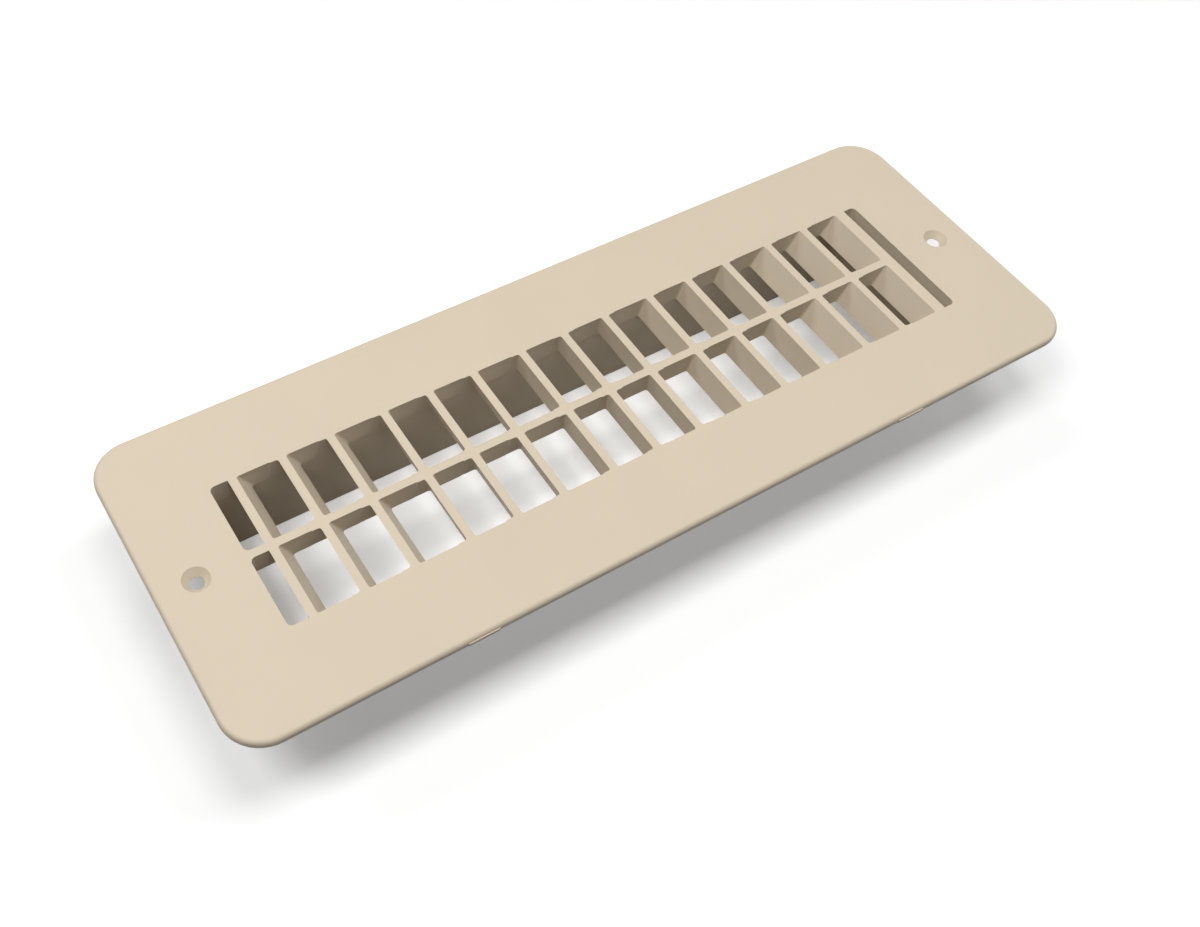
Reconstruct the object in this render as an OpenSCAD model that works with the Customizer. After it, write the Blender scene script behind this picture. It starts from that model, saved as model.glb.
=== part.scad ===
// Floor and ceiling register for a flat duct: one injection-moulded piece.
// A thin face plate carries a fanned grille and a collar that drops into the duct.
// Origin: middle of the plate's underside, where the plate meets the floor.
// X runs along the grille, Y across it, and Z points out of the face.

/* [Duct] */
// Inside width of the duct (2-1/4 in)
duct_w = 57.15; // [45:0.05:110]
// Inside length of the duct (10 in)
duct_l = 254; // [200:0.5:360]
// Free space between the collar and the duct on each side, at the top
duct_gap = 0.8; // [0.3:0.1:2]

/* [Face plate] */
// How far the plate reaches past the duct on every side (1 in)
overlap = 25.4; // [16:0.1:40]
// Thickness of the plate
plate_t = 2.4; // [2:0.1:4]
// Corner radius of the plate seen from above (1/2 in)
plate_r = 12.7; // [6:0.1:16]
// Rounding of the plate's upper edge
edge_r = 1.5; // [0.5:0.1:1.8]

/* [Screw holes] */
// Bore for the screw's shank
shank_d = 4.4; // [3:0.1:5.5]
// Width of the countersink at the face
head_d = 8.3; // [6.5:0.1:11]
// Full angle of the countersink
head_angle = 82; // [82:1:100]

/* [Collar] */
// Depth of the collar below the plate
collar_h = 32.5; // [15:0.5:60]
// Wall thickness of the collar where it leaves the plate
collar_wall = 1.75; // [1.5:0.05:2.5]
// Draft of the collar's outer and inner walls, in degrees
collar_draft = 0.6; // [0.2:0.1:0.8]
// Outer radius of the collar's upright corners
collar_r = 4; // [3:0.1:8]

/* [Grille] */
// Groups of vanes that share one lean
groups = 5; // [3:2:7]
// Vanes in each group
group_size = 3; // [2:1:4]
// Change of lean from one group to the next, in degrees
lean_step = 15; // [0:1:15]
// Height of the vanes, from the face down
vane_h = 7.5; // [5:0.1:10]
// Thickness of a vane at the face, measured along the grille
vane_t = 2.68; // [1.8:0.02:3.2]
// Thickness of a vane at its foot
vane_foot_t = 2.49; // [1.6:0.01:3]
// Thickness of the lengthwise rib at the face
rib_t = 3.2; // [2:0.1:5]
// Open slot between the left end wall and the first vane
end_slot = 6; // [4:0.1:9]
// Open slot for a damper lever between the last vane and the right end wall
lever_slot = 4.5; // [3.5:0.1:6]
// Corner radius of the grille cells
cell_r = 0.8; // [0.4:0.1:1]
// Corner radius of the two end slots
slot_r = 1.7; // [1:0.1:1.7]

/* [Mould lines] */
// Overhang of the grille's walls over the collar's inner wall
ledge = 0.3; // [0.2:0.05:0.8]
// How much wider a cell is where its core pulls out through the face
pull_step = 0.25; // [0.1:0.05:0.4]
// Draft of the walls that pull out through the face, in degrees
face_draft = 1.5; // [0.5:0.1:2]
// Draft of the walls that pull out through the collar, in degrees
back_draft = 1; // [0.5:0.1:1.2]
// Distance of the line between both cores from the overhanging vane
crease_in = 2.6; // [1:0.1:4]
// Slant of that line, in degrees
crease_lean = 7; // [0:1:10]
// Length of each gate mark on the front rim
gate_l = 10; // [4:0.5:16]
// Height of the gate marks above the plate's underside
gate_h = 1.2; // [0.6:0.1:1.4]
// How far the gate marks stand proud of the rim
gate_proud = 0.25; // [0.1:0.05:0.5]
// Distance from the plate's ends to the middle of each gate mark
gate_inset = 73.5; // [40:0.5:90]

/* [Hidden] */
$fn = 96;
over = 1; // how far a cut runs past a face

plate_w = duct_w + 2 * overlap;
plate_l = duct_l + 2 * overlap;
screw_x = duct_l / 2 + overlap / 2;

collar_w = duct_w - 2 * duct_gap;
collar_l = duct_l - 2 * duct_gap;
room_w = collar_w - 2 * collar_wall;
room_l = collar_l - 2 * collar_wall;
room_r = collar_r - collar_wall;
grille_w = room_w - 2 * ledge;
grille_l = room_l - 2 * ledge;

foot_z = plate_t - vane_h;
vanes = groups * group_size;
last = vanes - 1;
end_lean = (groups - 1) / 2 * lean_step;
foot_pitch = (grille_l / 2 - end_slot - vane_t / 2 - vane_h * tan(end_lean)) / (last / 2);

// Lean of vane i in degrees: positive when its foot lies to the right of its top
function lean(i) = end_lean - floor(i / group_size) * lean_step;
function foot_x(i) = (i - last / 2) * foot_pitch;
function top_x(i) = foot_x(i) - vane_h * tan(lean(i));
// The last vane is thicker, up to the lever slot
function extra(i) = i == last ? grille_l / 2 - lever_slot - top_x(i) - vane_t / 2 : 0;

// Edges of vane i at the face, and the slopes of its two sides
function left_edge(i) = top_x(i) - vane_t / 2;
function right_edge(i) = top_x(i) + vane_t / 2 + extra(i);
function left_lean(i) = atan((foot_x(i) - vane_foot_t / 2 - left_edge(i)) / vane_h);
function right_lean(i) = atan((foot_x(i) + vane_foot_t / 2 + extra(i) - right_edge(i)) / vane_h);

// Box that narrows going down by the draft on all sides, with upright corners of radius r at its top
module drafted_box(l, w, r, h, draft) {
    d = h * tan(draft);
    for (x = [-1, 1], y = [-1, 1])
        translate([x * (l / 2 - r), y * (w / 2 - r), -h])
            cylinder(h = h, r1 = r - d, r2 = r);
    rotate([90, 0, 0])
        linear_extrude(w - 2 * r, center = true)
            drafted_profile(l, h, d);
    rotate([90, 0, 90])
        linear_extrude(l - 2 * r, center = true)
            drafted_profile(w, h, d);
}

module drafted_profile(l, h, d) {
    polygon([[-l / 2, 0], [l / 2, 0], [l / 2 - d, -h], [d - l / 2, -h]]);
}

// Half section of the plate's rim, from the corner's middle outwards
module rim_profile() {
    square([plate_r - edge_r, plate_t]);
    square([plate_r, plate_t - edge_r]);
    translate([plate_r - edge_r, plate_t - edge_r])
        circle(edge_r);
}

module face_plate() {
    corner_x = plate_l / 2 - plate_r;
    corner_y = plate_w / 2 - plate_r;
    for (side = [0, 180])
        rotate([0, 0, side]) {
            translate([corner_x, corner_y, 0])
                rotate_extrude(angle = 90)
                    rim_profile();
            translate([-corner_x, corner_y, 0])
                rotate([0, 0, 90])
                    rotate_extrude(angle = 90)
                        rim_profile();
            translate([-corner_x, corner_y, 0])
                rotate([90, 0, 90])
                    linear_extrude(2 * corner_x)
                        rim_profile();
            translate([corner_x, corner_y, 0])
                rotate([90, 0, 0])
                    linear_extrude(2 * corner_y)
                        rim_profile();
        }
    translate([-corner_x, -corner_y, 0])
        cube([2 * corner_x, 2 * corner_y, plate_t]);
}

module gate_marks() {
    for (side = [-1, 1])
        translate([side * (plate_l / 2 - gate_inset) - gate_l / 2, -plate_w / 2 - gate_proud, 0])
            cube([gate_l, 2 * gate_proud, gate_h]);
}

module screw_holes() {
    sink = (head_d - shank_d) / 2 / tan(head_angle / 2);
    for (side = [-1, 1])
        translate([side * screw_x, 0, 0]) {
            translate([0, 0, -over])
                cylinder(h = plate_t + 2 * over, d = shank_d);
            translate([0, 0, plate_t - sink])
                cylinder(h = sink, d1 = shank_d, d2 = head_d);
        }
}

// Inside of the collar, wider towards its mouth
module collar_room() {
    d = (collar_h + foot_z) * tan(collar_draft);
    translate([0, 0, -collar_h])
        mirror([0, 0, 1])
            drafted_box(room_l + 2 * d, room_w + 2 * d, room_r + d, collar_h + foot_z, collar_draft);
    translate([0, 0, -collar_h - over / 2])
        cube([room_l + 2 * d - 2 * room_r, room_w + 2 * d - 2 * room_r, over], center = true);
}

// Quarter of a cell: all that lies right of a leaning side and in front of a drafted wall.
// Both pass through the origin at the face, and an arc of radius r rounds their corner.
module quarter(side_lean, draft, r, size_x, size_y) {
    turn = atan(tan(draft) * cos(side_lean));
    slope = -sin(turn) * tan(side_lean);
    run = sqrt(1 + slope * slope);
    mid = [r, r * slope - r * run];
    reach = size_x + vane_h;
    rotate([turn, -side_lean, 0])
        linear_extrude(4 * reach, center = true) {
            polygon([[0, mid[1]], [0, -size_y], [reach, -size_y], [reach, slope * reach],
                mid + [-slope, 1] * r / run]);
            translate(mid)
                circle(r);
        }
}

// Upright slab of the grille on one side (-1 left, 1 right) of the line between both cores
module half_of_cell(side, line_x, line_lean) {
    top = over * tan(line_lean);
    foot = (vane_h + over) * tan(line_lean);
    reach = 3 * foot_pitch;
    translate([line_x, 0, plate_t])
        rotate([90, 0, 0])
            linear_extrude(grille_w + 4 * over, center = true)
                polygon([[-top, over], [foot, -vane_h - over],
                    [side * reach, -vane_h - over], [side * reach, over]]);
}

// Both quarters of a cell on one side of that line. The core that pulls through the face
// leaves a wider cell with walls that face slightly upwards.
module cell_side(side, through_face, edge, side_lean, low, high, r) {
    step = through_face ? pull_step : 0;
    draft = through_face ? -face_draft : back_draft;
    half = (high - low) / 2 + over;
    for (wall = [-1, 1])
        translate([edge, wall < 0 ? low - step : high + step, plate_t])
            mirror([0, wall < 0 ? 1 : 0, 0])
                mirror([side > 0 ? 1 : 0, 0, 0])
                    quarter(-side * side_lean, draft, r, foot_pitch, half);
}

// One cell between two leaning sides, from y = low to y = high at the face
module cell(left, left_lean, right, right_lean, line_x, line_lean, face_side, low, high, left_r, right_r) {
    intersection() {
        half_of_cell(-1, line_x, line_lean);
        cell_side(-1, face_side < 0, left, left_lean, low, high, left_r);
    }
    intersection() {
        half_of_cell(1, line_x, line_lean);
        cell_side(1, face_side > 0, right, right_lean, low, high, right_r);
    }
}

module grille_cells() {
    rows = [[-grille_w / 2, -rib_t / 2], [rib_t / 2, grille_w / 2]];
    for (row = rows, i = [0:last - 1]) {
        // Cells left of the middle pull through the face beside their left vane
        face_side = i < last / 2 ? -1 : 1;
        line_x = face_side < 0 ? left_edge(i + 1) - crease_in : right_edge(i) + crease_in;
        cell(right_edge(i), right_lean(i), left_edge(i + 1), left_lean(i + 1),
            line_x, face_side * crease_lean, face_side, row[0], row[1], cell_r, cell_r);
    }
    for (row = rows)
        cell(-grille_l / 2, 0, left_edge(0), left_lean(0),
            left_edge(0), 0, -1, row[0], row[1], slot_r, cell_r);
    cell(right_edge(last), right_lean(last), grille_l / 2, 0,
        right_edge(last), 0, 1, -grille_w / 2, grille_w / 2, cell_r, slot_r);
}

module register() {
    color([0.85, 0.79, 0.70])
        difference() {
            union() {
                face_plate();
                drafted_box(collar_l, collar_w, collar_r, collar_h, collar_draft);
                gate_marks();
            }
            collar_room();
            grille_cells();
            screw_holes();
        }
}

register();
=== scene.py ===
"""Tan moulded duct register on a white studio floor, seen from its front left corner."""
import math

import bpy
from mathutils import Matrix, Vector


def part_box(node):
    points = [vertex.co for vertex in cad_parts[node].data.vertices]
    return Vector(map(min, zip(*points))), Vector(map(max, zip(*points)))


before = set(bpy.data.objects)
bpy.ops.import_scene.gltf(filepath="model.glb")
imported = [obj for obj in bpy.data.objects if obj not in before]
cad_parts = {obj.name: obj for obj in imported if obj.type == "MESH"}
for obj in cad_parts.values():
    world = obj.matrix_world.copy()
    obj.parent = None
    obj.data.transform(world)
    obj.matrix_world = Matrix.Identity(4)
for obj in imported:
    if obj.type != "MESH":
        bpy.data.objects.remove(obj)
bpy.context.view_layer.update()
MM = 0.001

# The photograph's frame in pixels, and the camera solved from it
PHOTO_W = 1200
PHOTO_H = 927
FOCAL_PX = 1272.0
CENTRE_PX = (476.3, 469.4)
SENSOR = 36.0
CAMERA_PLACE = Vector((-179.99, -183.31, 311.12)) * MM
CAMERA_AZIMUTH = math.radians(-35.713)
CAMERA_ELEVATION = math.radians(54.733)
CAMERA_ROLL = math.radians(-5.381)

# The register's own colour, as it looks in plain light
TAN = (0.660, 0.565, 0.430)

# Studio light: each lamp's name, azimuth and elevation in degrees, and power in watts
LAMPS = (
    ("left_box", 270, 60, 4.0),
    ("right_box", 90, 60, 2.3),
    ("top_box", 0, 89.9, 2.25),
    ("back_box", 180, 50, 1.34),
    ("low_back", 225, 35, 1.32),
    ("low_right", 90, 30, 0.74),
    ("low_front", 0, 30, 0.75),
    ("front_right", 45, 30, 0.45),
)
LAMP_SIZE = 0.35
WORLD_LIGHT = 0.0
FLOOR_GLOW = 0.26
FLOOR_BOUNCE = 0.1

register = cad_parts["register"]
low, high = (Vector(corner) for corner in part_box("register"))


def place_camera():
    data = bpy.data.cameras.new("camera")
    data.sensor_width = SENSOR
    data.lens = FOCAL_PX * SENSOR / PHOTO_W
    data.shift_x = (PHOTO_W / 2 - CENTRE_PX[0]) / PHOTO_W
    data.shift_y = (CENTRE_PX[1] - PHOTO_H / 2) / PHOTO_W
    data.clip_start = 0.01
    camera = bpy.data.objects.new("camera", data)
    bpy.context.collection.objects.link(camera)
    turn = Matrix.Rotation(CAMERA_AZIMUTH, 4, "Z") @ Matrix.Rotation(math.pi / 2 - CAMERA_ELEVATION, 4, "X")
    camera.matrix_world = Matrix.Translation(CAMERA_PLACE) @ turn @ Matrix.Rotation(-CAMERA_ROLL, 4, "Z")
    bpy.context.scene.camera = camera


class Nodes:
    """Short calls for building a node tree."""

    def __init__(self, tree):
        self.tree = tree
        tree.nodes.clear()

    def add(self, kind, inputs=None, **settings):
        node = self.tree.nodes.new(kind)
        for name, value in settings.items():
            setattr(node, name, value)
        for name, value in (inputs or {}).items():
            if isinstance(value, bpy.types.NodeSocket):
                self.tree.links.new(value, node.inputs[name])
            else:
                node.inputs[name].default_value = value
        return node

    def noise(self, where, scale, detail=2.0, rough=0.5):
        node = self.add("ShaderNodeTexNoise", {"Vector": where, "Scale": scale, "Detail": detail, "Roughness": rough})
        return node.outputs["Fac"]

    def span(self, value, from_low, from_high, to_low, to_high):
        node = self.add("ShaderNodeMapRange", {"Value": value, "From Min": from_low, "From Max": from_high,
                                               "To Min": to_low, "To Max": to_high})
        return node.outputs["Result"]

    def seen_directly(self):
        """1 for camera, mirror and see-through rays, 0 for the light that falls on things."""
        path = self.add("ShaderNodeLightPath").outputs
        either = self.add("ShaderNodeMath", {0: path["Is Camera Ray"], 1: path["Is Glossy Ray"]},
                          operation="MAXIMUM")
        node = self.add("ShaderNodeMath", {0: either.outputs[0], 1: path["Is Transmission Ray"]},
                        operation="MAXIMUM")
        return node.outputs[0]


def plastic():
    material = bpy.data.materials.new("tan_plastic")
    material.use_nodes = True
    n = Nodes(material.node_tree)
    where = n.add("ShaderNodeTexCoord").outputs["Object"]
    cloud = n.noise(where, 25.0)
    grain = n.noise(where, 3000.0, 3.0, 0.6)
    shade = n.span(cloud, 0.3, 0.7, 0.985, 1.015)
    colour = n.add("ShaderNodeVectorMath", {0: TAN, 1: shade}, operation="MULTIPLY").outputs[0]
    shine = n.span(cloud, 0.3, 0.7, 0.46, 0.54)
    bump = n.add("ShaderNodeBump", {"Height": grain, "Strength": 0.12, "Distance": 0.00004}).outputs["Normal"]
    skin = n.add("ShaderNodeBsdfPrincipled", {"Base Color": colour, "Roughness": shine, "Normal": bump,
                                              "IOR": 1.5, "Specular IOR Level": 0.4})
    n.add("ShaderNodeOutputMaterial", {"Surface": skin.outputs["BSDF"]})
    return material


def add_floor():
    """White floor at the collar's foot. To the camera it glows a little, so that it is white round
    the shadow, and other rays meet a darker one, so that less light comes back from below."""
    half = 3.0
    mesh = bpy.data.meshes.new("floor")
    z = low.z
    corners = [(-half, -half, z), (half, -half, z), (half, half, z), (-half, half, z)]
    mesh.from_pydata(corners, [], [(0, 1, 2, 3)])
    floor = bpy.data.objects.new("floor", mesh)
    bpy.context.collection.objects.link(floor)
    material = bpy.data.materials.new("floor")
    material.use_nodes = True
    n = Nodes(material.node_tree)
    matt = n.add("ShaderNodeBsdfDiffuse", {"Color": (0.88, 0.88, 0.88, 1)})
    glow = n.add("ShaderNodeEmission", {"Color": (1, 1, 1, 1), "Strength": FLOOR_GLOW})
    bright = n.add("ShaderNodeAddShader", {0: matt.outputs[0], 1: glow.outputs[0]})
    dim = n.add("ShaderNodeBsdfDiffuse", {"Color": (FLOOR_BOUNCE, FLOOR_BOUNCE, FLOOR_BOUNCE, 1)})
    seen = n.add("ShaderNodeMixShader", {0: n.seen_directly(), 1: dim.outputs[0], 2: bright.outputs[0]})
    n.add("ShaderNodeOutputMaterial", {"Surface": seen.outputs[0]})
    mesh.materials.append(material)


def add_lamp(name, azimuth, elevation, size, power):
    """Square soft box one metre away, aimed at the middle. Azimuth 0 is in front, 90 on the right."""
    turn, rise = math.radians(azimuth), math.radians(elevation)
    away = Vector((math.sin(turn) * math.cos(rise), -math.cos(turn) * math.cos(rise), math.sin(rise)))
    data = bpy.data.lights.new(name, "AREA")
    data.shape = "SQUARE"
    data.size = size
    data.energy = power
    lamp = bpy.data.objects.new(name, data)
    lamp.location = away
    lamp.rotation_euler = (-away).to_track_quat("-Z", "Y").to_euler()
    bpy.context.collection.objects.link(lamp)


def light_world(strength):
    world = bpy.data.worlds.new("studio")
    bpy.context.scene.world = world
    world.use_nodes = True
    n = Nodes(world.node_tree)
    soft = n.add("ShaderNodeBackground", {"Color": (1, 1, 1, 1), "Strength": strength})
    white = n.add("ShaderNodeBackground", {"Color": (1, 1, 1, 1), "Strength": 1.0})
    mixed = n.add("ShaderNodeMixShader", {0: n.seen_directly(), 1: soft.outputs[0], 2: white.outputs[0]})
    n.add("ShaderNodeOutputWorld", {"Surface": mixed.outputs[0]})


place_camera()
register.data.materials.clear()
register.data.materials.append(plastic())
add_floor()
for name, azimuth, elevation, power in LAMPS:
    add_lamp(name, azimuth, elevation, LAMP_SIZE, power)
light_world(WORLD_LIGHT)

scene = bpy.context.scene
scene.view_settings.view_transform = "Standard"
